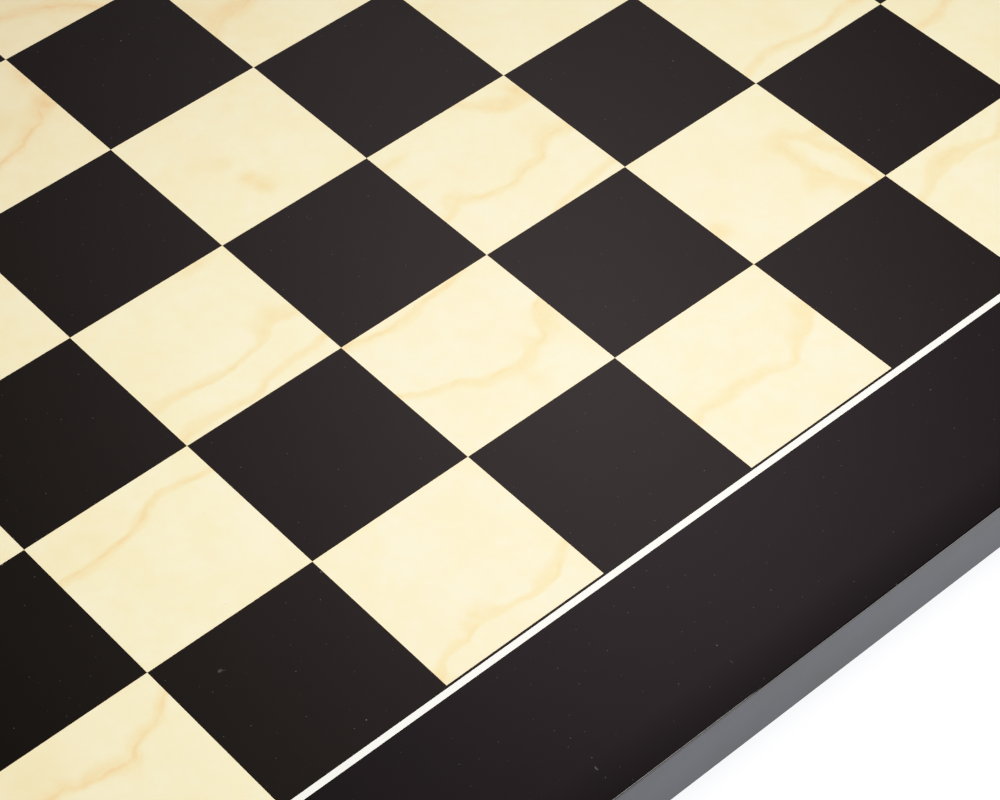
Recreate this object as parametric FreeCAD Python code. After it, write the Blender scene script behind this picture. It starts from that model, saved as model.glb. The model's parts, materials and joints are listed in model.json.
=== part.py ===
"""A veneered chess board with a high-gloss finish, as the separate pieces that are glued up to make it.

Units are millimetres. +Z is up, out of the playing surface. The origin is under the middle of the
board, on the plane that the felt pads stand on. White sits at -Y with rank 1 in front of them, and the
files a to h run towards +X, so each player has a light square at their right hand.
"""

import FreeCAD, Part
import os
from FreeCAD import Placement, Rotation, Vector

# Playing surface.
SQUARE = 50.0
SQUARES_PER_SIDE = 8
BLACK_LINE = 0.75
WHITE_LINE = 1.9
BORDER = SQUARE  # both lines and the black border together are as wide as one square

# Board build-up.
BOARD_THICKNESS = 18.0
VENEER = 0.6
LIPPING_WIDTH = 6.0
TONGUE_THICKNESS = 5.0
TONGUE_DEPTH = 4.0
GLUE_GAP = 0.5  # the groove is this much deeper than the tongue
ARRIS_RADIUS = 0.4

# Felt pads.
PAD_DIAMETER = 20.0
PAD_THICKNESS = 1.5
PAD_INSET = 35.0  # from the board's edge to a pad's middle
PAD_RIM = 0.4  # the rounding of a pad's lower rim

# Half widths, from the middle of the board outwards.
HALF_FIELD = SQUARE * SQUARES_PER_SIDE / 2
HALF_BLACK_LINE = HALF_FIELD + BLACK_LINE
HALF_WHITE_LINE = HALF_BLACK_LINE + WHITE_LINE
HALF_BOARD = HALF_FIELD + BORDER
HALF_CORE = HALF_BOARD - LIPPING_WIDTH
HALF_TONGUE = HALF_CORE - TONGUE_DEPTH
HALF_GROOVE = HALF_TONGUE - GLUE_GAP

# Heights, from the pads upwards.
BOARD_BOTTOM = PAD_THICKNESS
CORE_BOTTOM = BOARD_BOTTOM + VENEER
BOARD_TOP = BOARD_BOTTOM + BOARD_THICKNESS
CORE_TOP = BOARD_TOP - VENEER
TONGUE_BOTTOM = (CORE_BOTTOM + CORE_TOP - TONGUE_THICKNESS) / 2

# Each side is the front one turned about the board's middle.
SIDES = {"front": 0, "right": 90, "back": 180, "left": 270}
CORNERS = {"front_left": (-1, -1), "front_right": (1, -1), "back_right": (1, 1), "back_left": (-1, 1)}


def slab(half, bottom, top):
    """A square plate centred on the origin, reaching half each way."""
    return Part.makeBox(2 * half, 2 * half, top - bottom, Vector(-half, -half, bottom))


def mitred_strip(inner, outer, bottom, top):
    """The front strip of a square ring, with its ends cut at 45 degrees."""
    corners = [(-outer, -outer), (outer, -outer), (inner, -inner), (-inner, -inner)]
    outline = Part.makePolygon([Vector(x, y, bottom) for x, y in corners + corners[:1]])
    return Part.Face(outline).extrude(Vector(0, 0, top - bottom))


def turned(shape, degrees):
    """A copy of the shape, turned about the board's upright axis."""
    copy = shape.copy()
    copy.Placement = Placement(Vector(), Rotation(Vector(0, 0, 1), degrees))
    return copy


def eased_blank():
    """The outside of the glued-up board, with every arris rounded over."""
    block = slab(HALF_BOARD, BOARD_BOTTOM, BOARD_TOP)
    return block.makeFillet(ARRIS_RADIUS, block.Edges)


def core_panel():
    """The fibreboard panel, with a groove round its edge for the lippings' tongues."""
    tongue_top = TONGUE_BOTTOM + TONGUE_THICKNESS
    groove = slab(HALF_CORE, TONGUE_BOTTOM, tongue_top).cut(slab(HALF_GROOVE, TONGUE_BOTTOM, tongue_top))
    return slab(HALF_CORE, CORE_BOTTOM, CORE_TOP).cut(groove)


def front_lipping(blank):
    """The solid edge strip, with the tongue that locates it in the core panel."""
    strip = mitred_strip(HALF_CORE, HALF_BOARD, CORE_BOTTOM, CORE_TOP).common(blank)
    tongue = mitred_strip(HALF_TONGUE, HALF_CORE, TONGUE_BOTTOM, TONGUE_BOTTOM + TONGUE_THICKNESS)
    return strip.fuse(tongue).removeSplitter()


def veneer_square(file, rank):
    """One square of the playing surface, with files and ranks counted from 1."""
    left = (file - 1) * SQUARE - HALF_FIELD
    near = (rank - 1) * SQUARE - HALF_FIELD
    return Part.makeBox(SQUARE, SQUARE, VENEER, Vector(left, near, CORE_TOP))


def rank_squares(rank, dark):
    """The four dark or the four light squares of a rank; a1 is dark."""
    files = [f for f in range(1, SQUARES_PER_SIDE + 1) if ((f + rank) % 2 == 0) == dark]
    return Part.makeCompound([veneer_square(f, rank) for f in files])


def backing_veneer(blank):
    """The sheet under the board that balances the pull of the veneer on top."""
    return blank.common(slab(HALF_BOARD, BOARD_BOTTOM, CORE_BOTTOM))


def felt_pad(x_sign, y_sign):
    """A round stick-on pad under one corner, its lower rim rounded."""
    reach = HALF_BOARD - PAD_INSET
    disc = Part.makeCylinder(PAD_DIAMETER / 2, PAD_THICKNESS, Vector(x_sign * reach, y_sign * reach, 0))
    lower_rim = [e for e in disc.Edges if e.BoundBox.ZMax < PAD_THICKNESS / 2]
    return disc.makeFillet(PAD_RIM, lower_rim)


def all_nodes():
    """Every node's name and shape."""
    blank = eased_blank()
    nodes = {"core_panel": core_panel(), "backing_veneer": backing_veneer(blank)}
    ring_pieces = {
        "lipping": front_lipping(blank),
        "border_veneer": mitred_strip(HALF_WHITE_LINE, HALF_BOARD, CORE_TOP, BOARD_TOP).common(blank),
        "white_line": mitred_strip(HALF_BLACK_LINE, HALF_WHITE_LINE, CORE_TOP, BOARD_TOP),
        "black_line": mitred_strip(HALF_FIELD, HALF_BLACK_LINE, CORE_TOP, BOARD_TOP),
    }
    for piece, shape in ring_pieces.items():
        for side, degrees in SIDES.items():
            nodes[f"{side}_{piece}"] = turned(shape, degrees)
    for rank in range(1, SQUARES_PER_SIDE + 1):
        nodes[f"rank_{rank}_dark_squares"] = rank_squares(rank, dark=True)
        nodes[f"rank_{rank}_light_squares"] = rank_squares(rank, dark=False)
    for corner, signs in CORNERS.items():
        nodes[f"{corner}_felt_pad"] = felt_pad(*signs)
    return nodes


def main():
    os.makedirs("parts", exist_ok=True)
    for name, shape in all_nodes().items():
        shape.exportStep(f"parts/{name}.step")
        print(name, len(shape.Solids), "solids", round(shape.Volume, 2), "mm3", "valid", shape.isValid())


if __name__ == "__main__":
    main()
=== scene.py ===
"""A high-gloss veneered chess board, in metres, in the frame of its CAD model.

White sits at -Y, rank 1 is in front of them and file a is at -X. The CAD pieces stay and get their
materials here, except two kinds. The light squares are rebuilt with a fine mesh that carries the figure
of their veneer: for each point, how far it lies from each stained vein of its square. The felt pads are
rebuilt with a soft rim.
"""
import json
import math

import bpy
import numpy as np
from mathutils import Matrix, Vector


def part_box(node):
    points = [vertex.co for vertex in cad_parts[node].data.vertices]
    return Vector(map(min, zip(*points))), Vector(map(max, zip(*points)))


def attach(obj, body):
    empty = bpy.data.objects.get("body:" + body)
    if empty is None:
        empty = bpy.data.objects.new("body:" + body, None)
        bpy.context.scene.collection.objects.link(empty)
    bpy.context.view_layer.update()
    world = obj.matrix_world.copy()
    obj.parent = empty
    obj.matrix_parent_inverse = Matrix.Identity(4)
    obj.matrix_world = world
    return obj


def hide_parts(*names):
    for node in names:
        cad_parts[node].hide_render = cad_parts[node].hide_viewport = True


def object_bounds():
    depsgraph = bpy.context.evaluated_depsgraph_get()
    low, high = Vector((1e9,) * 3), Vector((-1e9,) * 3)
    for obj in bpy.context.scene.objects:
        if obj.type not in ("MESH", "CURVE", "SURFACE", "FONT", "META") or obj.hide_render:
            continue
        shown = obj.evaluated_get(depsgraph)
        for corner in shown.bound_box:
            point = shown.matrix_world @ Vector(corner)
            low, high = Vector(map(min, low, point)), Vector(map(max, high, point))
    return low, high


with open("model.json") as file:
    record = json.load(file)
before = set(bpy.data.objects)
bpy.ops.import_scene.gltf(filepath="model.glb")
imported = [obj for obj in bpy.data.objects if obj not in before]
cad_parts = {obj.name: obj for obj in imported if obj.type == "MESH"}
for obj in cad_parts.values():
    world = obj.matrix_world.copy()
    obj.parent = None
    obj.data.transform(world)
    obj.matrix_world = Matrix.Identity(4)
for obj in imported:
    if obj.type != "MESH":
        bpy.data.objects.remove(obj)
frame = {"nodes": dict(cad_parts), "record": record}
cad_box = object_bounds()

MM = 0.001
SQUARES_PER_SIDE = 8
FILES = "abcdefgh"

TOP = cad_box[1].z
BOARD_HALF = cad_box[1].x
FIELD_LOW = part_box("rank_1_dark_squares")[0]
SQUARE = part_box("rank_1_dark_squares")[1].y - FIELD_LOW.y

# ---------------------------------------------------------------------------------------------------
# Figure of the light veneer. Places are fractions of a square: the first counts from rank 1 towards
# rank 8, the second from file h towards file a. Veins run on past the edges of their square.
# A point of a vein: place, how far its stain spreads to its left and right (mm), and depth of its line.
# ---------------------------------------------------------------------------------------------------
VEINS = {
    "h1": [[(-0.10, 0.62, 3.0, 2.0, 0.9), (0.12, 0.69, 3.0, 2.0, 0.9), (0.30, 0.725, 3.0, 1.5, 1.0),
            (0.375, 0.685, 2.5, 1.5, 1.0), (0.475, 0.668, 4.0, 1.5, 1.0), (0.575, 0.657, 4.0, 2.5, 1.0),
            (0.655, 0.645, 2.0, 3.0, 0.9), (0.70, 0.695, 3.0, 1.5, 1.0), (0.775, 0.725, 3.0, 1.5, 1.0),
            (0.875, 0.75, 1.8, 1.5, 0.9), (0.98, 0.84, 2.5, 1.5, 0.9), (1.10, 0.92, 2.5, 1.5, 0.9)]],
    "h3": [[(-0.10, 0.02, 3.0, 2.0, 0.7), (0.015, 0.06, 3.5, 1.5, 0.7), (0.085, 0.12, 1.5, 1.2, 0.8),
            (0.185, 0.137, 2.5, 1.0, 0.8), (0.26, 0.14, 2.0, 1.0, 0.7), (0.335, 0.175, 4.5, 1.0, 0.7),
            (0.435, 0.162, 5.0, 1.0, 0.6), (0.51, 0.15, 1.8, 1.0, 0.7), (0.585, 0.15, 1.2, 1.0, 0.7),
            (0.66, 0.127, 1.8, 1.0, 0.9), (0.735, 0.13, 4.5, 1.0, 0.7), (0.835, 0.15, 4.5, 1.0, 0.7),
            (0.885, 0.187, 3.5, 1.2, 0.8), (0.985, 0.262, 2.0, 1.5, 0.9), (1.10, 0.31, 2.0, 1.5, 0.8)]],
    "h5": [[(-0.10, 0.38, 2.5, 2.0, 0.6), (0.015, 0.40, 3.0, 1.5, 0.7), (0.095, 0.437, 2.0, 1.5, 0.7),
            (0.22, 0.41, 3.5, 1.8, 0.6), (0.32, 0.45, 2.0, 3.5, 0.6), (0.42, 0.415, 3.0, 2.0, 0.6),
            (0.52, 0.40, 3.0, 1.5, 0.5), (0.595, 0.364, 2.5, 1.2, 0.7), (0.657, 0.355, 2.0, 1.2, 0.8),
            (0.72, 0.40, 2.0, 1.5, 0.7), (0.795, 0.462, 4.0, 2.0, 0.6), (0.87, 0.473, 5.0, 1.5, 0.7),
            (0.93, 0.52, 5.0, 1.5, 0.7), (0.98, 0.555, 6.0, 1.5, 0.7), (1.10, 0.60, 5.0, 1.5, 0.6)]],
    "h7": [[(-0.10, 0.71, 2.0, 1.5, 0.4), (0.02, 0.74, 2.0, 1.5, 0.4), (0.105, 0.77, 2.5, 1.5, 0.5),
            (0.167, 0.80, 3.5, 1.5, 0.6), (0.25, 0.83, 5.0, 1.8, 0.6), (0.33, 0.835, 6.5, 2.0, 0.5),
            (0.41, 0.827, 6.0, 1.5, 0.5), (0.50, 0.83, 3.0, 1.2, 0.6), (0.58, 0.822, 1.8, 1.2, 0.5),
            (0.655, 0.807, 1.5, 1.2, 0.4), (0.755, 0.845, 2.0, 1.5, 0.5), (0.86, 0.91, 2.5, 1.5, 0.5),
            (1.10, 1.03, 2.5, 1.5, 0.5)]],
    "g2": [[(-0.10, 0.705, 1.2, 2.2, 1.0), (0.02, 0.71, 1.2, 2.2, 1.0), (0.15, 0.702, 1.2, 2.4, 1.0),
            (0.25, 0.71, 1.2, 2.0, 1.0), (0.35, 0.72, 1.2, 1.8, 1.0), (0.45, 0.735, 1.0, 1.5, 0.9),
            (0.54, 0.765, 3.0, 2.0, 1.0), (0.59, 0.80, 1.8, 2.0, 0.9), (0.675, 0.84, 1.2, 1.5, 0.7),
            (0.775, 0.84, 1.0, 2.0, 0.8), (0.86, 0.82, 1.5, 1.5, 0.9), (0.975, 0.80, 1.2, 1.5, 0.8),
            (1.10, 0.785, 1.2, 1.5, 0.8)]],
    "g4": [[(-0.10, 0.60, 1.2, 2.0, 0.8), (0.02, 0.535, 1.2, 2.0, 0.9), (0.085, 0.485, 1.0, 2.0, 0.9),
            (0.185, 0.447, 1.2, 2.0, 0.8), (0.285, 0.417, 1.2, 2.0, 0.8), (0.347, 0.385, 1.2, 3.0, 0.8),
            (0.385, 0.32, 3.0, 2.0, 1.0), (0.485, 0.32, 1.5, 3.0, 0.8), (0.585, 0.302, 1.5, 4.0, 1.0),
            (0.685, 0.315, 1.5, 3.0, 0.9), (0.76, 0.35, 4.0, 2.5, 0.8), (0.82, 0.345, 2.0, 2.5, 0.9),
            (0.86, 0.402, 2.0, 5.0, 0.9), (0.897, 0.49, 1.5, 6.5, 0.9), (0.947, 0.552, 1.2, 6.0, 0.9),
            (1.10, 0.60, 1.2, 5.0, 0.8)],
           [(-0.10, 0.99, 1.5, 2.0, 0.9), (0.05, 0.985, 1.5, 3.0, 0.9), (0.12, 0.96, 1.5, 2.0, 0.9),
            (0.22, 0.937, 1.5, 1.5, 0.9), (0.32, 0.935, 1.2, 2.5, 0.7), (0.44, 0.945, 1.2, 2.5, 0.6),
            (0.52, 0.967, 1.2, 1.5, 0.8), (0.70, 0.975, 1.5, 1.5, 0.9), (0.85, 1.01, 1.5, 1.5, 0.6)]],
    "g6": [[(0.86, -0.10, 4.0, 2.0, 0.9), (0.84, 0.027, 4.0, 2.5, 0.9), (0.807, 0.115, 5.0, 2.0, 0.9),
            (0.782, 0.215, 6.0, 1.5, 0.8), (0.748, 0.29, 5.0, 2.5, 0.7), (0.742, 0.39, 3.0, 3.0, 0.7),
            (0.742, 0.49, 3.0, 2.5, 0.8), (0.765, 0.565, 5.0, 2.0, 0.8), (0.80, 0.595, 4.0, 1.5, 0.9),
            (0.845, 0.55, 3.0, 2.0, 0.6), (0.882, 0.50, 2.5, 1.5, 0.4), (0.898, 0.415, 2.5, 1.5, 0.6),
            (0.92, 0.35, 3.0, 1.5, 0.7), (0.965, 0.315, 3.0, 3.0, 0.9), (0.972, 0.265, 3.0, 3.0, 0.9),
            (0.972, 0.14, 3.0, 3.0, 0.9), (0.955, 0.04, 3.0, 2.0, 0.9), (0.94, -0.10, 3.0, 2.0, 0.9)],
           [(0.86, 0.53, 2.0, 2.0, 0.0), (0.90, 0.505, 2.0, 2.5, 0.4), (0.945, 0.50, 2.0, 3.0, 0.5),
            (1.10, 0.51, 2.0, 3.0, 0.4)]],
    "g8": [[(-0.10, 0.72, 1.5, 2.0, 0.8), (0.055, 0.715, 1.5, 2.0, 0.8), (0.155, 0.7225, 1.5, 2.5, 0.8),
            (0.23, 0.74, 1.5, 2.0, 0.7), (0.33, 0.7725, 1.5, 1.5, 0.6), (0.60, 0.75, 2.0, 1.5, 0.6),
            (1.10, 0.82, 2.0, 1.5, 0.6)]],
    "f3": [[(-0.10, 0.28, 3.0, 1.5, 0.6), (0.02, 0.287, 3.0, 1.5, 0.6), (0.125, 0.30, 2.5, 1.5, 0.5),
            (0.25, 0.287, 2.0, 1.5, 0.7), (0.375, 0.257, 3.0, 1.0, 0.7), (0.50, 0.267, 1.5, 1.0, 0.7),
            (0.625, 0.287, 1.2, 1.0, 0.6), (0.75, 0.305, 3.5, 1.0, 0.5), (0.80, 0.362, 5.0, 1.5, 0.6),
            (0.862, 0.39, 5.0, 2.0, 0.6), (0.975, 0.357, 4.0, 2.0, 0.6), (1.10, 0.34, 3.0, 2.0, 0.6)],
           [(-0.10, 0.03, 3.0, 2.0, 0.7), (0.02, 0.043, 3.0, 2.0, 0.8), (0.125, 0.062, 3.5, 2.0, 0.5),
            (0.25, 0.05, 3.0, 1.5, 0.6), (0.375, 0.043, 2.0, 1.5, 0.8), (0.475, 0.033, 1.5, 1.5, 0.7),
            (0.60, 0.08, 2.0, 1.2, 0.7), (0.75, 0.10, 1.8, 1.5, 0.6), (0.90, 0.107, 1.5, 2.0, 0.6),
            (0.975, 0.125, 1.5, 2.0, 0.8), (1.10, 0.15, 1.5, 2.0, 0.7)]],
    "f5": [[(-0.10, 0.34, 2.0, 1.5, 0.7), (0.015, 0.345, 2.5, 1.5, 0.8), (0.085, 0.362, 3.0, 1.5, 0.8),
            (0.147, 0.42, 4.5, 3.0, 0.9), (0.21, 0.38, 3.0, 2.0, 0.9), (0.285, 0.345, 1.5, 2.0, 0.8),
            (0.385, 0.325, 1.2, 2.0, 0.8), (0.46, 0.313, 1.2, 2.0, 0.7), (0.56, 0.345, 3.0, 1.5, 0.8),
            (0.66, 0.355, 2.5, 1.5, 0.8), (0.722, 0.362, 2.5, 1.5, 0.8), (0.772, 0.425, 3.5, 2.0, 0.8),
            (0.86, 0.47, 4.0, 3.0, 0.8), (0.985, 0.45, 4.0, 3.0, 0.8), (1.10, 0.44, 4.0, 2.0, 0.7)],
           [(0.60, 1.10, 2.0, 2.0, 0.8), (0.66, 0.98, 2.0, 2.5, 0.8), (0.71, 0.912, 2.5, 2.0, 0.9),
            (0.785, 0.837, 5.0, 3.0, 0.8), (0.86, 0.785, 5.0, 2.5, 0.7), (0.96, 0.78, 5.0, 2.0, 0.6),
            (1.10, 0.77, 4.0, 2.0, 0.6)],
           [(0.45, -0.03, 1.5, 1.5, 0.3), (0.56, 0.023, 1.5, 1.5, 0.4), (0.735, 0.05, 1.8, 1.5, 0.6),
            (0.885, 0.07, 2.0, 1.5, 0.7), (1.10, 0.085, 2.0, 1.5, 0.7)]],
    "f7": [[(-0.10, 0.06, 2.0, 1.5, 0.5), (0.015, 0.087, 2.0, 1.5, 0.5), (0.095, 0.112, 2.0, 1.5, 0.5),
            (0.22, 0.137, 2.5, 1.8, 0.5), (0.32, 0.137, 1.5, 2.5, 0.7), (0.42, 0.105, 2.0, 1.5, 0.6),
            (0.52, 0.088, 1.5, 1.5, 0.8), (0.62, 0.08, 1.5, 1.5, 0.6), (0.72, 0.112, 1.5, 2.0, 0.6),
            (0.845, 0.137, 1.5, 2.5, 0.7), (0.98, 0.10, 1.5, 2.0, 0.6), (1.10, 0.08, 1.5, 2.0, 0.6)]],
    "e4": [],
    "e6": [],
    "d3": [[(-0.10, 0.18, 3.0, 2.0, 0.9), (0.25, 0.26, 3.0, 2.0, 0.9), (0.535, 0.327, 2.0, 2.0, 1.0),
            (0.635, 0.345, 2.5, 2.0, 0.9), (0.71, 0.39, 3.0, 2.0, 1.0), (0.785, 0.427, 4.0, 1.8, 1.0),
            (0.86, 0.44, 4.0, 1.8, 1.0), (0.885, 0.51, 4.0, 4.0, 1.0), (0.935, 0.57, 4.0, 5.0, 1.0),
            (0.985, 0.60, 4.0, 5.0, 0.9), (1.10, 0.62, 4.0, 4.0, 0.9)]],
    "d5": [[(-0.10, 0.31, 4.0, 3.0, 0.9), (0.015, 0.37, 5.0, 3.0, 0.9), (0.095, 0.43, 5.0, 2.5, 0.7),
            (0.17, 0.455, 5.0, 2.5, 0.7), (0.245, 0.44, 6.0, 3.0, 0.9), (0.33, 0.47, 5.0, 3.0, 0.9),
            (0.60, 0.58, 4.0, 2.0, 0.8), (1.10, 0.66, 4.0, 2.0, 0.8)]],
    "c4": [[(-0.10, 0.36, 3.0, 2.0, 0.8), (0.20, 0.30, 3.0, 2.0, 0.8), (0.455, 0.20, 3.0, 3.0, 1.0),
            (0.62, 0.06, 3.0, 3.0, 0.9), (0.75, -0.10, 3.0, 2.0, 0.8)]],
}
# Stained patches: middle, radii and depth.
PATCHES = {
    "h1": [(0.25, 0.86, 0.22, 0.12, 0.22), (0.60, 0.58, 0.05, 0.05, 0.20)],
    "h3": [(0.02, 0.05, 0.05, 0.04, 0.7), (0.40, 0.26, 0.10, 0.05, 0.22), (0.15, 0.28, 0.14, 0.10, 0.12)],
    "h5": [(0.94, 0.64, 0.06, 0.10, 0.35), (0.42, 0.56, 0.20, 0.10, 0.12)],
    "h7": [(0.33, 0.885, 0.10, 0.04, 0.42)],
    "g2": [(0.20, 0.86, 0.26, 0.12, 0.24), (0.66, 0.34, 0.06, 0.14, 0.16), (0.76, 0.12, 0.05, 0.10, 0.14)],
    "g4": [(0.60, 0.17, 0.05, 0.07, 0.50), (0.735, 0.43, 0.04, 0.04, 0.40), (0.94, 0.40, 0.06, 0.10, 0.40),
           (0.57, 0.58, 0.07, 0.07, 0.18)],
    "g6": [(0.04, 0.30, 0.06, 0.065, 1.0), (0.66, 0.21, 0.07, 0.06, 0.55), (0.66, 0.55, 0.14, 0.12, 0.22),
           (0.94, 0.42, 0.05, 0.10, 0.18), (0.45, 0.70, 0.15, 0.15, 0.14)],
    "f3": [(0.79, 0.975, 0.10, 0.035, 0.75), (0.20, 0.50, 0.18, 0.18, 0.14), (0.88, 0.50, 0.10, 0.12, 0.16)],
    "f5": [(0.07, 0.875, 0.10, 0.028, 0.85), (0.07, 0.65, 0.08, 0.04, 0.40), (0.96, 0.87, 0.045, 0.07, 1.0),
           (0.86, 0.83, 0.10, 0.05, 0.55), (0.86, 0.60, 0.12, 0.09, 0.35), (0.30, 0.58, 0.12, 0.16, 0.16)],
    "f7": [(0.45, 0.27, 0.08, 0.10, 0.16)],
    "e4": [(0.39, 0.50, 0.05, 0.06, 0.55), (0.33, 0.55, 0.10, 0.12, 0.26), (0.42, 0.31, 0.055, 0.055, 0.95),
           (0.455, 0.215, 0.055, 0.07, 1.0)],
    "e6": [(0.06, 0.73, 0.09, 0.02, 0.45), (0.10, 0.60, 0.10, 0.12, 0.18)],
    "d3": [(0.96, 0.54, 0.05, 0.06, 1.0), (0.98, 0.81, 0.04, 0.10, 0.9), (0.66, 0.55, 0.08, 0.08, 0.35)],
    "d5": [(0.23, 0.50, 0.07, 0.05, 0.55), (0.06, 0.58, 0.08, 0.10, 0.40)],
}
MAX_VEINS = 3
FAR_FROM_VEIN = 30.0  # millimetres, for a vein that a square hasn't got
CELLS_PER_SQUARE = 40
rng = np.random.default_rng(64)


def add_piece(name, mesh):
    """A new object in the scene with this mesh."""
    piece = bpy.data.objects.new(name, mesh)
    bpy.context.scene.collection.objects.link(piece)
    return piece


# ---------------------------------------------------------------------------------------------------
# Light squares
# ---------------------------------------------------------------------------------------------------
def smooth_line(points, steps=8):
    """The rows of a Catmull-Rom spline through a vein's points."""
    p = np.array([points[0], *points, points[-1]], float)
    t = np.linspace(0, 1, steps, endpoint=False)[:, None]
    runs = []
    for a, b, c, d in zip(p, p[1:], p[2:], p[3:]):
        runs.append(0.5 * (2 * b + (c - a) * t + (2 * a - 5 * b + 4 * c - d) * t**2
                           + (3 * b - a - 3 * c + d) * t**3))
    return np.vstack([*runs, p[-1:]])


def lie_of(spots, line):
    """For each spot: distance from a vein in mm (positive on its left), in spreads, and depth of line."""
    start = line[:-1, :2]
    run = line[1:, :2] - start
    away = spots[:, None] - start[None]
    along = np.clip((away * run).sum(2) / (run**2).sum(1), 0, 1)
    gap = away - along[..., None] * run
    nearest = np.argmin((gap**2).sum(2), axis=1)
    rows = np.arange(len(spots))
    g, r, t = gap[rows, nearest], run[nearest], along[rows, nearest][:, None]
    side = np.sign(r[:, 0] * g[:, 1] - r[:, 1] * g[:, 0])
    left, right, ink = ((1 - t) * line[nearest, 2:] + t * line[nearest + 1, 2:]).T
    distance = side * np.sqrt((g**2).sum(1)) * SQUARE / MM
    reach = distance / np.where(side > 0, left, right)
    past_end = ((nearest == 0) & (t[:, 0] <= 0)) | ((nearest == len(run) - 1) & (t[:, 0] >= 1))
    return np.where(past_end, [[FAR_FROM_VEIN], [FAR_FROM_VEIN], [0]], [distance, reach, ink])


def wandering_vein():
    """A vein for a square with none of its own in VEINS, from edge to edge."""
    level = rng.uniform(0.12, 0.88)
    slope = rng.uniform(-0.25, 0.25)
    steps = np.linspace(-0.1, 1.1, 12)
    return [(a, level + slope * (a - 0.5) + rng.normal(0, 0.025), *rng.uniform(1.2, 4.0, 2),
             rng.uniform(0.5, 1.0)) for a in steps]


def wandering_patch():
    return (*rng.uniform(0, 1, 2), *rng.uniform(0.04, 0.2, 2), rng.uniform(0.1, 0.4))


def figure_of(name, spots):
    """For each spot of a square: its lie to each vein, and the depth of patchy stain."""
    if name in VEINS:
        veins, patches = VEINS[name], PATCHES.get(name, [])
    else:
        veins = [wandering_vein() for _ in range(rng.integers(0, 3))]
        patches = [wandering_patch() for _ in range(rng.integers(1, 4))]
    lie = np.zeros((3, len(spots), MAX_VEINS))
    lie[:2] = FAR_FROM_VEIN
    for i, vein in enumerate(veins):
        lie[:, :, i] = lie_of(spots, smooth_line(vein))
    stain = np.zeros(len(spots))
    for a, b, radius_a, radius_b, depth in patches:
        reach = ((spots[:, 0] - a) / radius_a) ** 2 + ((spots[:, 1] - b) / radius_b) ** 2
        stain = np.maximum(stain, depth * np.exp(-reach))
    return lie, stain


def square_shell(left, near, bottom, top):
    """A closed veneer square with a gridded top: its vertices, faces, and the top's grid fractions."""
    n = CELLS_PER_SQUARE
    step = np.linspace(0, 1, n + 1)
    across, along = (fractions.ravel() for fractions in np.meshgrid(step, step, indexing="ij"))
    grid = np.column_stack([left + across * SQUARE, near + along * SQUARE, np.full(len(across), top)])
    foot = [(left, near, bottom), (left + SQUARE, near, bottom),
            (left + SQUARE, near + SQUARE, bottom), (left, near + SQUARE, bottom)]
    verts = np.vstack([grid, foot])

    def at(i, j):
        return i * (n + 1) + j

    faces = [(at(i, j), at(i + 1, j), at(i + 1, j + 1), at(i, j + 1)) for i in range(n) for j in range(n)]
    corners = range(len(grid), len(grid) + 4)
    faces.append(tuple(reversed(corners)))
    up, down = range(n + 1), range(n, -1, -1)
    rims = ([at(i, 0) for i in down], [at(n, j) for j in down],
            [at(i, n) for i in up], [at(0, j) for j in up])
    for side, rim in enumerate(rims):
        faces.append((corners[side], corners[(side + 1) % 4], *rim))
    return verts, faces, across, along


def light_squares(rank, material):
    """The light squares of a rank as one piece, with their figure stored on the mesh."""
    node = f"rank_{rank}_light_squares"
    low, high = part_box(node)
    verts, faces = [], []
    figure = {"vein_distance": [], "vein_reach": [], "vein_ink": [], "stain": []}
    for file in range(1, SQUARES_PER_SIDE + 1):
        if (file + rank) % 2 == 0:  # a dark square
            continue
        left = FIELD_LOW.x + (file - 1) * SQUARE
        shell, shell_faces, across, along = square_shell(left, low.y, low.z, high.z)
        base = sum(len(other) for other in verts)
        verts.append(shell)
        faces += [tuple(corner + base for corner in face) for face in shell_faces]
        lie, stain = figure_of(FILES[file - 1] + str(rank), np.column_stack([along, 1 - across]))
        tone = rng.uniform(0, 1)
        foot = len(shell) - len(across)
        for key, values, blank in zip(figure, lie, (FAR_FROM_VEIN, FAR_FROM_VEIN, 0)):
            figure[key].append(np.vstack([values, np.full((foot, MAX_VEINS), blank)]))
        figure["stain"].append(np.column_stack([np.append(stain, np.zeros(foot)),
                                                np.full(len(shell), tone), np.zeros(len(shell))]))
    mesh = bpy.data.meshes.new(f"light_squares_{rank}")
    mesh.from_pydata(np.vstack(verts).tolist(), [], faces)
    for key, values in figure.items():
        attribute = mesh.attributes.new(key, "FLOAT_VECTOR", "POINT")
        attribute.data.foreach_set("vector", np.vstack(values).astype(np.float32).ravel())
    mesh.materials.append(material)
    mesh.validate()
    piece = add_piece(mesh.name, mesh)
    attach(piece, "root")
    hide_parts(node)


# ---------------------------------------------------------------------------------------------------
# Felt pads
# ---------------------------------------------------------------------------------------------------
PAD_SIDES = 96
PAD_RINGS = 12
PAD_RIM_RINGS = 7
PAD_RIM_TURN = 75  # degrees, up and down from the widest part of the rim
PAD_BULGE = 0.4 * MM
PAD_FUZZ = 0.06 * MM


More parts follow.
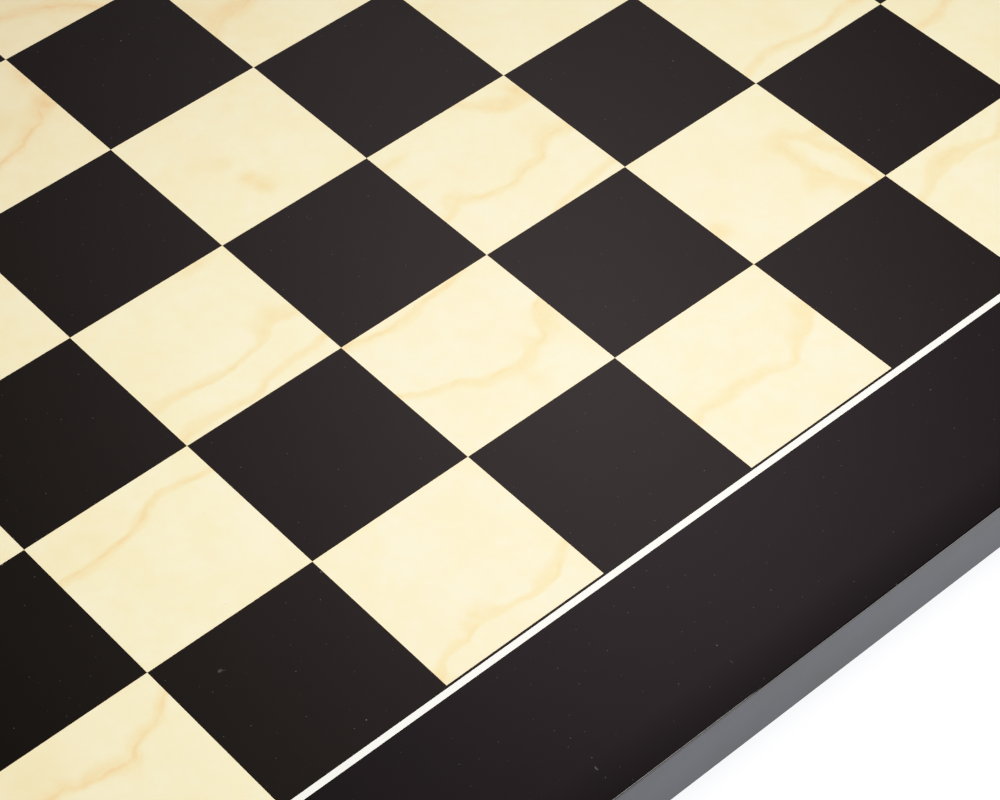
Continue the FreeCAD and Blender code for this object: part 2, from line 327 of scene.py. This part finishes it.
def felt_pad(node, material):
    """A punched felt disc: flat where it is glued, with a soft rim and an uneven foot."""
    low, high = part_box(node)
    middle = (low + high) / 2
    radius = (high.x - low.x) / 2
    flat = [(out, 0.0) for out in np.linspace(0, radius - PAD_BULGE, PAD_RINGS)]
    rim = [(radius - PAD_BULGE * (1 - math.cos(turn)), 0.5 + 0.5 * math.sin(turn))
           for turn in np.radians(np.linspace(-PAD_RIM_TURN, PAD_RIM_TURN, PAD_RIM_RINGS))]
    profile = [*flat[1:], *rim, *[(out, 1.0) for out, _ in flat[:0:-1]]]
    verts = [(middle.x, middle.y, low.z), (middle.x, middle.y, high.z)]
    for out, up in profile:
        for side in range(PAD_SIDES):
            around = math.tau * side / PAD_SIDES
            fuzz = rng.uniform(0, PAD_FUZZ)
            reach = out - fuzz
            height = low.z + up * (high.z - low.z) + (1 - up) * fuzz / 2
            verts.append((middle.x + reach * math.cos(around), middle.y + reach * math.sin(around), height))

    def at(ring, side):
        return 2 + ring * PAD_SIDES + side % PAD_SIDES

    last = len(profile) - 1
    faces = [(0, at(0, side + 1), at(0, side)) for side in range(PAD_SIDES)]
    faces += [(at(ring, side), at(ring, side + 1), at(ring + 1, side + 1), at(ring + 1, side))
              for ring in range(last) for side in range(PAD_SIDES)]
    faces += [(1, at(last, side), at(last, side + 1)) for side in range(PAD_SIDES)]
    name = node.replace("felt_pad", "felt_disc")
    mesh = bpy.data.meshes.new(name)
    mesh.from_pydata(verts, [], faces)
    mesh.polygons.foreach_set("use_smooth", [True] * len(faces))
    mesh.materials.append(material)
    mesh.validate()
    piece = add_piece(name, mesh)
    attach(piece, "root")
    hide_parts(node)


# ---------------------------------------------------------------------------------------------------
# Materials
# ---------------------------------------------------------------------------------------------------
MIX_FIRST, MIX_SECOND, MIX_RESULT = 6, 7, 2  # the colour sockets of a mix node, which share their names


class Nodes:
    """A small helper that adds and links shader nodes."""

    def __init__(self, tree):
        self.tree = tree

    def add(self, kind, inputs=None, **settings):
        node = self.tree.nodes.new(kind)
        for key, value in settings.items():
            setattr(node, key, value)
        for key, value in (inputs or {}).items():
            self.put(node.inputs[key], value)
        return node

    def put(self, socket, value):
        if isinstance(value, bpy.types.NodeSocket):
            self.tree.links.new(value, socket)
        else:
            socket.default_value = value

    def math(self, operation, *values, clamp=False):
        node = self.add("ShaderNodeMath", dict(enumerate(values)), operation=operation, use_clamp=clamp)
        return node.outputs[0]

    def noise(self, vector, per_metre, detail=2.0, roughness=0.5):
        """Noise from 0 to 1, with its scale given as features per metre."""
        node = self.add("ShaderNodeTexNoise", {"Vector": vector, "Scale": per_metre, "Detail": detail,
                                               "Roughness": roughness})
        return node.outputs["Fac"]

    def remap(self, value, low, high, to_low=0.0, to_high=1.0, smooth=False):
        kind = "SMOOTHSTEP" if smooth else "LINEAR"
        node = self.add("ShaderNodeMapRange", {"Value": value, "From Min": low, "From Max": high,
                                               "To Min": to_low, "To Max": to_high},
                        interpolation_type=kind)
        return node.outputs["Result"]

    def mix(self, factor, first, second, blend="MIX"):
        node = self.add("ShaderNodeMix", data_type="RGBA", blend_type=blend)
        self.put(node.inputs["Factor"], factor)
        self.put(node.inputs[MIX_FIRST], first)
        self.put(node.inputs[MIX_SECOND], second)
        return node.outputs[MIX_RESULT]

    def stretched(self, vector, x, y, z):
        node = self.add("ShaderNodeVectorMath", {0: vector, 1: (x, y, z)}, operation="MULTIPLY")
        return node.outputs[0]


LACQUER_IOR = 1.5
EDGE_LACQUER_IOR = 1.45
LACQUER_ROUGHNESS = 0.03
UNEVEN_ROUGHNESS = 0.02
SWELL_HEIGHT = 0.025 * MM
GRAIN_HEIGHT = 0.0008 * MM
ROLL_WIDTH = 12.0 * MM
ROLL_DEPTH = 0.25 * MM


def new_material(name):
    material = bpy.data.materials.new(name)
    material.use_nodes = True
    tree = material.node_tree
    nodes = Nodes(tree)
    shader = tree.nodes["Principled BSDF"]
    place = nodes.add("ShaderNodeTexCoord").outputs["Object"]
    return material, nodes, shader, place


def way_out(nodes, place):
    """How far a spot lies from the board's middle towards its nearest edge."""
    x, y, _ = nodes.add("ShaderNodeSeparateXYZ", {0: place}).outputs
    return nodes.math("MAXIMUM", nodes.math("ABSOLUTE", x), nodes.math("ABSOLUTE", y))


def gloss_roughness(nodes, place):
    """The roughness of the polished lacquer, a little uneven."""
    return nodes.remap(nodes.noise(place, 18.0), 0.3, 0.7, LACQUER_ROUGHNESS,
                       LACQUER_ROUGHNESS + UNEVEN_ROUGHNESS)


def lacquer(nodes, shader, place, rolls_off=False):
    """The gloss of a thick, flatted and polished clear coat: almost a mirror, very slightly wavy.

    Where it meets the board's edge the coat rolls off a little.
    """
    swell = nodes.math("MULTIPLY", nodes.noise(place, 45.0, detail=1.0), SWELL_HEIGHT)
    grain = nodes.noise(nodes.stretched(place, 1.0, 0.08, 1.0), 700.0, detail=2.0)
    height = nodes.math("MULTIPLY_ADD", grain, GRAIN_HEIGHT, swell)
    if rolls_off:
        past = nodes.remap(way_out(nodes, place), BOARD_HALF - ROLL_WIDTH, BOARD_HALF)
        height = nodes.math("MULTIPLY_ADD", nodes.math("MULTIPLY", past, past), -ROLL_DEPTH, height)
    bump = nodes.add("ShaderNodeBump", {"Height": height, "Distance": 1.0, "Strength": 1.0})
    nodes.put(shader.inputs["Normal"], bump.outputs[0])
    shader.inputs["IOR"].default_value = LACQUER_IOR


def specks(nodes, spot, per_metre, share, radius):
    """Scattered dots, 0 to 1: one possible in each cell, of which a share is there."""
    cells = nodes.add("ShaderNodeTexVoronoi", {"Vector": spot, "Scale": per_metre},
                      voronoi_dimensions="2D")
    chance, size, _ = nodes.add("ShaderNodeSeparateColor", {"Color": cells.outputs["Color"]}).outputs
    there = nodes.math("LESS_THAN", chance, share)
    edge = nodes.math("MULTIPLY", nodes.math("ADD", size, 0.4), radius * per_metre)
    inside = nodes.math("DIVIDE", cells.outputs["Distance"], edge)
    dot = nodes.remap(inside, 0.5, 1.0, 1.0, 0.0)
    faint = nodes.remap(size, 0.0, 1.0, 0.35, 1.0)
    return nodes.math("MULTIPLY", nodes.math("MULTIPLY", there, dot), faint)


def lint(nodes, spot):
    """A few fine curled fibres."""
    patch = specks(nodes, spot, 38.0, 0.2, 0.9 * MM)
    curl = nodes.math("SUBTRACT", nodes.noise(spot, 420.0, detail=0.0), 0.5)
    hair = nodes.remap(nodes.math("ABSOLUTE", curl), 0.006, 0.016, 1.0, 0.0)
    return nodes.math("MULTIPLY", nodes.math("GREATER_THAN", patch, 0.1), hair)


def dust(nodes, place, upright=False):
    """Dust on the gloss of the top, or of the upright faces, 0 to 1."""
    spot = place
    if upright:
        x, y, z = nodes.add("ShaderNodeSeparateXYZ", {0: place}).outputs
        spot = nodes.add("ShaderNodeCombineXYZ", {0: nodes.math("ADD", x, y), 1: z}).outputs[0]
    fine = specks(nodes, spot, 170.0, 0.55, 0.12 * MM)
    coarse = specks(nodes, spot, 52.0, 0.22, 0.19 * MM)
    return nodes.math("MAXIMUM", nodes.math("MULTIPLY", fine, 0.6),
                      nodes.math("MAXIMUM", coarse, nodes.math("MULTIPLY", lint(nodes, spot), 0.35)))


DUST = (0.40, 0.40, 0.42, 1)
DUST_DEPTH = 0.32
DUST_ROUGHNESS = 0.4


def dusty_gloss(nodes, shader, place, tone, speck):
    """Gives a shader its colour and roughness: a glossy tone, with dust where speck is above 0."""
    nodes.put(shader.inputs["Base Color"], nodes.mix(nodes.math("MULTIPLY", speck, DUST_DEPTH), tone, DUST))
    rough = nodes.math("MULTIPLY_ADD", speck, DUST_ROUGHNESS, gloss_roughness(nodes, place))
    nodes.put(shader.inputs["Roughness"], rough)


def gloss_black(name, colour, warm, rolls_off=False):
    """Veneer dyed black right through, under the lacquer: its grain only just shows."""
    material, nodes, shader, place = new_material(name)
    grain = nodes.noise(nodes.stretched(place, 1.0, 0.06, 1.0), 900.0, detail=3.0, roughness=0.6)
    cloud = nodes.noise(place, 30.0)
    depth = nodes.math("MULTIPLY_ADD", grain, 0.5, cloud)
    tone = nodes.mix(nodes.remap(depth, 0.45, 1.05), (*colour, 1), (*warm, 1))
    dusty_gloss(nodes, shader, place, tone, dust(nodes, place))
    lacquer(nodes, shader, place, rolls_off)
    return material


EDGE_BLACK = (0.0015, 0.0006, 0.0008, 1)
# Painted reflection: a bluish tint in the lippings' colour that stands in for the bluish reflection on their
# upright faces.
EDGE_REFLECTION_BLUE = (0.007, 0.012, 0.025, 1)


def edge_black():
    """The lippings: black under the lacquer, with a bluish tint painted into the colour as a stand-in for
    the bluish reflection on the side faces, and some dust. Only upright faces show.
    """
    material, nodes, shader, place = new_material("lipping_wood")
    cloud = nodes.noise(place, 32.0, detail=3.0, roughness=0.6)
    streak = nodes.noise(nodes.stretched(place, 0.35, 0.35, 1.0), 420.0, detail=3.0)
    # Painted reflection: how much of the bluish tint shows, in cloudy streaks.
    painted_reflection_share = nodes.remap(nodes.math("MULTIPLY_ADD", streak, 0.35, cloud), 0.45, 0.85, 0.1, 1.0)
    tone = nodes.mix(painted_reflection_share, EDGE_BLACK, EDGE_REFLECTION_BLUE)
    dusty_gloss(nodes, shader, place, tone, dust(nodes, place, upright=True))
    lacquer(nodes, shader, place)
    shader.inputs["IOR"].default_value = EDGE_LACQUER_IOR
    return material


CREAM = (0.92, 0.79, 0.51, 1)
CREAM_PALE = (0.94, 0.825, 0.56, 1)
CREAM_DEEP = (0.925, 0.775, 0.475, 1)
TAN = (0.915, 0.705, 0.405, 1)
PEACH = (0.89, 0.625, 0.33, 1)
FIBRE = (0.88, 0.75, 0.48, 1)
PEPPER = (0.30, 0.19, 0.09, 1)
VEIN_SHARE = 0.85
BAND_SHARE = 0.38
STAIN_SHARE = 0.62


def figure_fields(nodes):
    """The figure stored on the mesh of the light squares, each field as its three numbers."""
    fields = {}
    for key in ("vein_distance", "vein_reach", "vein_ink", "stain"):
        attribute = nodes.add("ShaderNodeAttribute", attribute_name=key)
        fields[key] = nodes.add("ShaderNodeSeparateXYZ", {0: attribute.outputs["Vector"]}).outputs
    return fields


def figure_depth(nodes, place, fields):
    """How deeply the veneer is stained, 0 to 1: fine ragged lines, paler bands beside them, and patches."""
    wobble = nodes.math("SUBTRACT", nodes.noise(place, 260.0, detail=3.0, roughness=0.65), 0.5)
    fray = nodes.math("SUBTRACT", nodes.noise(place, 800.0, detail=3.0, roughness=0.6), 0.5)
    blotch = nodes.math("SUBTRACT", nodes.noise(place, 330.0, detail=2.0), 0.5)
    shift = nodes.math("MULTIPLY_ADD", wobble, 2.4, fray)
    line, band = 0.0, 0.0
    for distance, reach, ink in zip(*(fields[key] for key in ("vein_distance", "vein_reach", "vein_ink"))):
        away = nodes.math("ABSOLUTE", nodes.math("ADD", distance, shift))
        core = nodes.remap(away, 0.25, 1.25, 1.0, 0.0, smooth=True)
        line = nodes.math("MAXIMUM", line, nodes.math("MULTIPLY", core, ink))
        spread = nodes.math("ABSOLUTE", nodes.math("MULTIPLY_ADD", shift, 0.4, reach))
        band = nodes.math("MAXIMUM", band, nodes.remap(spread, 0.2, 1.35, 1.0, 0.0, smooth=True))
    thinning = nodes.remap(nodes.noise(place, 190.0, detail=1.0), 0.32, 0.6, 0.45, 1.0)
    line = nodes.math("MULTIPLY", line, thinning)
    patches = nodes.math("MULTIPLY", fields["stain"][0], STAIN_SHARE)
    depth = nodes.math("MULTIPLY_ADD", band, BAND_SHARE, patches)
    ragged = nodes.math("MULTIPLY_ADD", blotch, 1.3, nodes.math("MULTIPLY", fray, 0.9))
    depth = nodes.math("MULTIPLY", depth, nodes.math("ADD", ragged, 1.0), clamp=True)
    return nodes.math("MAXIMUM", depth, nodes.math("MULTIPLY", line, VEIN_SHARE), clamp=True)


def cream_ground(nodes, place, tone):
    """The unstained veneer: faint clouds and mottle, fine fibres, and a tone for each square."""
    cloud = nodes.noise(place, 55.0, detail=2.0)
    mottle = nodes.noise(place, 240.0, detail=4.0, roughness=0.65)
    level = nodes.math("MULTIPLY_ADD", cloud, 0.8, mottle)
    ground = nodes.mix(nodes.remap(level, 0.70, 1.10), CREAM_DEEP, CREAM_PALE)
    fibre = nodes.noise(nodes.stretched(place, 1.0, 0.05, 1.0), 1500.0, detail=3.0, roughness=0.6)
    ground = nodes.mix(nodes.remap(fibre, 0.55, 0.8, 0.0, 0.3), ground, FIBRE)
    return nodes.mix(nodes.remap(tone, 0.0, 1.0, 0.0, 0.4), ground, CREAM)


def cream_veneer():
    """Figured maple: cream, faintly mottled, with thin peach veins that bleed out to their sides."""
    material, nodes, shader, place = new_material("light_veneer")
    fields = figure_fields(nodes)
    depth = figure_depth(nodes, place, fields)
    colour = cream_ground(nodes, place, fields["stain"][1])
    colour = nodes.mix(nodes.remap(depth, 0.0, 0.45), colour, TAN)
    colour = nodes.mix(nodes.remap(depth, 0.45, 1.0), colour, PEACH)
    pepper = nodes.math("MULTIPLY", specks(nodes, place, 42.0, 0.22, 0.16 * MM), 0.55)
    nodes.put(shader.inputs["Base Color"], nodes.mix(pepper, colour, PEPPER))
    nodes.put(shader.inputs["Roughness"], gloss_roughness(nodes, place))
    lacquer(nodes, shader, place)
    return material


def white_inlay():
    """Bleached white stringing, with just enough grain to be wood."""
    material, nodes, shader, place = new_material("white_inlay")
    grain = nodes.noise(nodes.stretched(place, 0.2, 0.2, 1.0), 1500.0, detail=3.0)
    tone = nodes.mix(nodes.remap(grain, 0.35, 0.7), (0.94, 0.93, 0.84, 1), (0.90, 0.885, 0.79, 1))
    nodes.put(shader.inputs["Base Color"], tone)
    nodes.put(shader.inputs["Roughness"], nodes.remap(grain, 0.3, 0.7, 0.03, 0.05))
    lacquer(nodes, shader, place)
    return material


# A brownish band, in patches, along the outer rim of the underside.
BROWN_RIM_WIDTH = 0.5 * MM
RIM_BROWN = (0.075, 0.048, 0.032, 1)


def backing():
    """The underside: dyed veneer with open grain under a thin satin lacquer, brownish along its outer rim.
    """
    material, nodes, shader, place = new_material("backing_veneer")
    grain = nodes.noise(nodes.stretched(place, 1.0, 0.04, 1.0), 1100.0, detail=4.0, roughness=0.65)
    tone = nodes.mix(nodes.remap(grain, 0.35, 0.7), (0.010, 0.009, 0.009, 1), (0.030, 0.026, 0.024, 1))
    rim = nodes.math("GREATER_THAN", way_out(nodes, place), BOARD_HALF - BROWN_RIM_WIDTH)
    rim_brown_share = nodes.math("MULTIPLY", rim, nodes.remap(nodes.noise(place, 500.0, detail=3.0), 0.3, 0.6))
    nodes.put(shader.inputs["Base Color"], nodes.mix(rim_brown_share, tone, RIM_BROWN))
    nodes.put(shader.inputs["Roughness"], nodes.remap(grain, 0.3, 0.7, 0.28, 0.42))
    bump = nodes.add("ShaderNodeBump", {"Height": grain, "Distance": 0.04 * MM, "Strength": 0.6})
    nodes.put(shader.inputs["Normal"], bump.outputs[0])
    return material


def fibreboard():
    """The core: pressed wood fibres, seen only when the board is taken apart."""
    material, nodes, shader, place = new_material("core_fibreboard")
    fibres = nodes.noise(place, 1800.0, detail=5.0, roughness=0.7)
    tone = nodes.mix(nodes.remap(fibres, 0.35, 0.65), (0.33, 0.21, 0.12, 1), (0.55, 0.38, 0.23, 1))
    nodes.put(shader.inputs["Base Color"], tone)
    nodes.put(shader.inputs["Roughness"], nodes.remap(fibres, 0.3, 0.7, 0.8, 0.95))
    return material


def felt():
    """Dense wool felt, dark green."""
    material, nodes, shader, place = new_material("felt")
    fibres = nodes.noise(place, 2600.0, detail=6.0, roughness=0.75)
    matting = nodes.noise(place, 400.0, detail=3.0)
    tone = nodes.mix(nodes.math("MULTIPLY", fibres, nodes.math("ADD", matting, 0.5)),
                     (0.008, 0.022, 0.012, 1), (0.035, 0.085, 0.05, 1))
    nodes.put(shader.inputs["Base Color"], tone)
    nodes.put(shader.inputs["Roughness"], nodes.remap(matting, 0.3, 0.7, 0.9, 1.0))
    shader.inputs["Sheen Weight"].default_value = 0.4
    bump = nodes.add("ShaderNodeBump", {"Height": fibres, "Distance": 0.15 * MM, "Strength": 0.8})
    nodes.put(shader.inputs["Normal"], bump.outputs[0])
    return material


def dress_cad_nodes():
    """Gives each CAD node that stays its material."""
    dark = gloss_black("dark_veneer", (0.0036, 0.0027, 0.0009), (0.0048, 0.0036, 0.0014))
    border = gloss_black("border_veneer", (0.0010, 0.0003, 0.0004), (0.0022, 0.0008, 0.0010),
                         rolls_off=True)
    materials = {
        "dark_veneer": dark,
        "black_inlay": dark,
        "border_veneer": border,
        "lipping_wood": edge_black(),
        "white_inlay": white_inlay(),
        "backing_veneer": backing(),
        "core_fibreboard": fibreboard(),
    }
    slots = {part["node"]: part["material_slot"] for part in frame["record"]["subparts"]}
    for name, piece in frame["nodes"].items():
        if slots[name] in materials:
            piece.data.materials[0] = materials[slots[name]]


# ---------------------------------------------------------------------------------------------------
# Floor, light and camera
# ---------------------------------------------------------------------------------------------------
FLOOR_RADIUS = 15.0
FLOOR_COLOUR = (0.20, 0.20, 0.20, 1)
FLOOR_GLOW = (0.97, 0.98, 1.02, 1)
FLOOR_GLOW_STRENGTH = 1.06


def floor():
    """A white table, lit a little from below as a light table is."""
    mesh = bpy.data.meshes.new("floor")
    r = FLOOR_RADIUS
    mesh.from_pydata([(-r, -r, 0), (r, -r, 0), (r, r, 0), (-r, r, 0)], [], [(0, 1, 2, 3)])
    piece = add_piece("floor", mesh)
    material, _, shader, _ = new_material("floor")
    shader.inputs["Base Color"].default_value = FLOOR_COLOUR
    shader.inputs["Roughness"].default_value = 0.9
    shader.inputs["Emission Color"].default_value = FLOOR_GLOW
    shader.inputs["Emission Strength"].default_value = FLOOR_GLOW_STRENGTH
    mesh.materials.append(material)


# How bright the studio is at each height, from the horizon (0) to straight up (1).
SKY = [(0.0, 0.9), (0.1, 0.8), (0.3, 0.45), (0.5, 0.12), (0.61, 0.0), (0.86, 0.0), (0.92, 0.2),
       (1.0, 0.3)]
# Broad soft lights: azimuth from +X towards +Y, elevation, turn, widths (degrees), falloff, colour.
WINDOW = (137.0, 47.9, 34.0, (5.23, 6.68), 0.74, (0.85, 0.695, 0.763, 1))
SIDE_SCREEN = (34.0, 9.0, 0.0, (12.0, 9.0), 1.0, (12.0, 11.4, 10.9, 1))


def soft_light(nodes, direction, azimuth, elevation, turn, widths, falloff, colour):
    """The light of one soft oval patch of the surroundings."""
    azimuth, elevation, turn = map(math.radians, (azimuth, elevation, turn))
    centre = Vector((math.cos(azimuth) * math.cos(elevation), math.sin(azimuth) * math.cos(elevation),
                     math.sin(elevation)))
    level = Vector((-math.sin(azimuth), math.cos(azimuth), 0))
    climb = centre.cross(level)
    reach = 0.0
    for axis, width in zip((level * math.cos(turn) + climb * math.sin(turn),
                            climb * math.cos(turn) - level * math.sin(turn)), widths):
        across = nodes.add("ShaderNodeVectorMath", {0: direction, 1: axis / math.radians(width)},
                           operation="DOT_PRODUCT").outputs["Value"]
        reach = nodes.math("MULTIPLY_ADD", across, across, reach)
    power = nodes.math("MULTIPLY", nodes.math("POWER", reach, falloff), -0.5)
    facing = nodes.add("ShaderNodeVectorMath", {0: direction, 1: centre}, operation="DOT_PRODUCT")
    ahead = nodes.math("GREATER_THAN", facing.outputs["Value"], 0.0)
    glow = nodes.math("MULTIPLY", nodes.math("EXPONENT", power), ahead)
    return nodes.mix(1.0, colour, glow, blend="MULTIPLY")


def studio_world():
    """Soft grey surroundings, with two broad lights that the gloss picks up."""
    world = bpy.data.worlds.new("studio")
    world.use_nodes = True
    bpy.context.scene.world = world
    nodes = Nodes(world.node_tree)
    direction = nodes.add("ShaderNodeTexCoord").outputs["Generated"]
    height = nodes.add("ShaderNodeSeparateXYZ", {0: direction}).outputs[2]
    ramp = nodes.add("ShaderNodeValToRGB", {"Fac": height})
    ramp.color_ramp.interpolation = "LINEAR"
    elements = ramp.color_ramp.elements
    while len(elements) < len(SKY):
        elements.new(0.5)
    for element, (position, level) in zip(elements, SKY):
        element.position = position
        element.color = (level, level, level, 1)
    light = ramp.outputs["Color"]
    for patch in (WINDOW, SIDE_SCREEN):
        light = nodes.mix(1.0, light, soft_light(nodes, direction, *patch), blend="ADD")
    nodes.put(world.node_tree.nodes["Background"].inputs["Color"], light)


KEY_PLACE = Vector((0.18, 0.0, TOP + 0.42))
KEY_SIZE = (0.14, 0.32)
KEY_RADIANCE = 14.2


def softbox(name, middle, size_x, size_y, radiance):
    """A rectangular light that faces straight down."""
    data = bpy.data.lights.new(name, "AREA")
    data.shape = "RECTANGLE"
    data.size, data.size_y = size_x, size_y
    data.energy = radiance * math.pi * size_x * size_y
    light = bpy.data.objects.new(name, data)
    light.location = middle
    light.visible_camera = False
    bpy.context.scene.collection.objects.link(light)


CAMERA_AIM = Vector((0.1411, -0.0315, TOP))
CAMERA_AZIMUTH = 49.63
CAMERA_ELEVATION = 48.24
CAMERA_ROLL = -1.30
CAMERA_DISTANCE = 0.7666
LENS = 108.67


def camera():
    """The photograph's viewpoint: close in, from above the board's right-hand edge."""
    data = bpy.data.cameras.new("camera")
    data.sensor_width = 36.0
    data.lens = LENS
    data.clip_start, data.clip_end = 0.01, 100.0
    azimuth, elevation = math.radians(CAMERA_AZIMUTH), math.radians(CAMERA_ELEVATION)
    back = Vector((math.sin(azimuth) * math.cos(elevation), -math.cos(azimuth) * math.cos(elevation),
                   math.sin(elevation)))
    turn = (-back).to_track_quat("-Z", "Y").to_matrix() @ Matrix.Rotation(math.radians(CAMERA_ROLL), 3, "Z")
    piece = bpy.data.objects.new("camera", data)
    piece.matrix_world = Matrix.Translation(CAMERA_AIM + back * CAMERA_DISTANCE) @ turn.to_4x4()
    bpy.context.scene.collection.objects.link(piece)
    bpy.context.scene.camera = piece


# The camera's response to light: straight, with a soft shoulder up to white.
RESPONSE = [(0.0, 0.0), (0.5, 0.5), (0.75, 0.74), (0.9, 0.85), (1.08, 0.94), (1.18, 0.985), (1.26, 1.0)]


def film():
    settings = bpy.context.scene.view_settings
    settings.view_transform = "Standard"
    settings.use_curve_mapping = True
    curves = settings.curve_mapping
    full = RESPONSE[-1][0]
    curves.white_level = (full, full, full)
    points = curves.curves[3].points
    while len(points) < len(RESPONSE):
        points.new(0.5, 0.5)
    for point, (light, shown) in zip(points, RESPONSE):
        point.location = (light / full, shown)
    curves.update()


dress_cad_nodes()
veneer = cream_veneer()
for rank in range(1, SQUARES_PER_SIDE + 1):
    light_squares(rank, veneer)
wool = felt()
for part in frame["record"]["subparts"]:
    if part["material_slot"] == "felt":
        felt_pad(part["node"], wool)
floor()
studio_world()
softbox("key_light", KEY_PLACE, *KEY_SIZE, KEY_RADIANCE)
camera()
film()
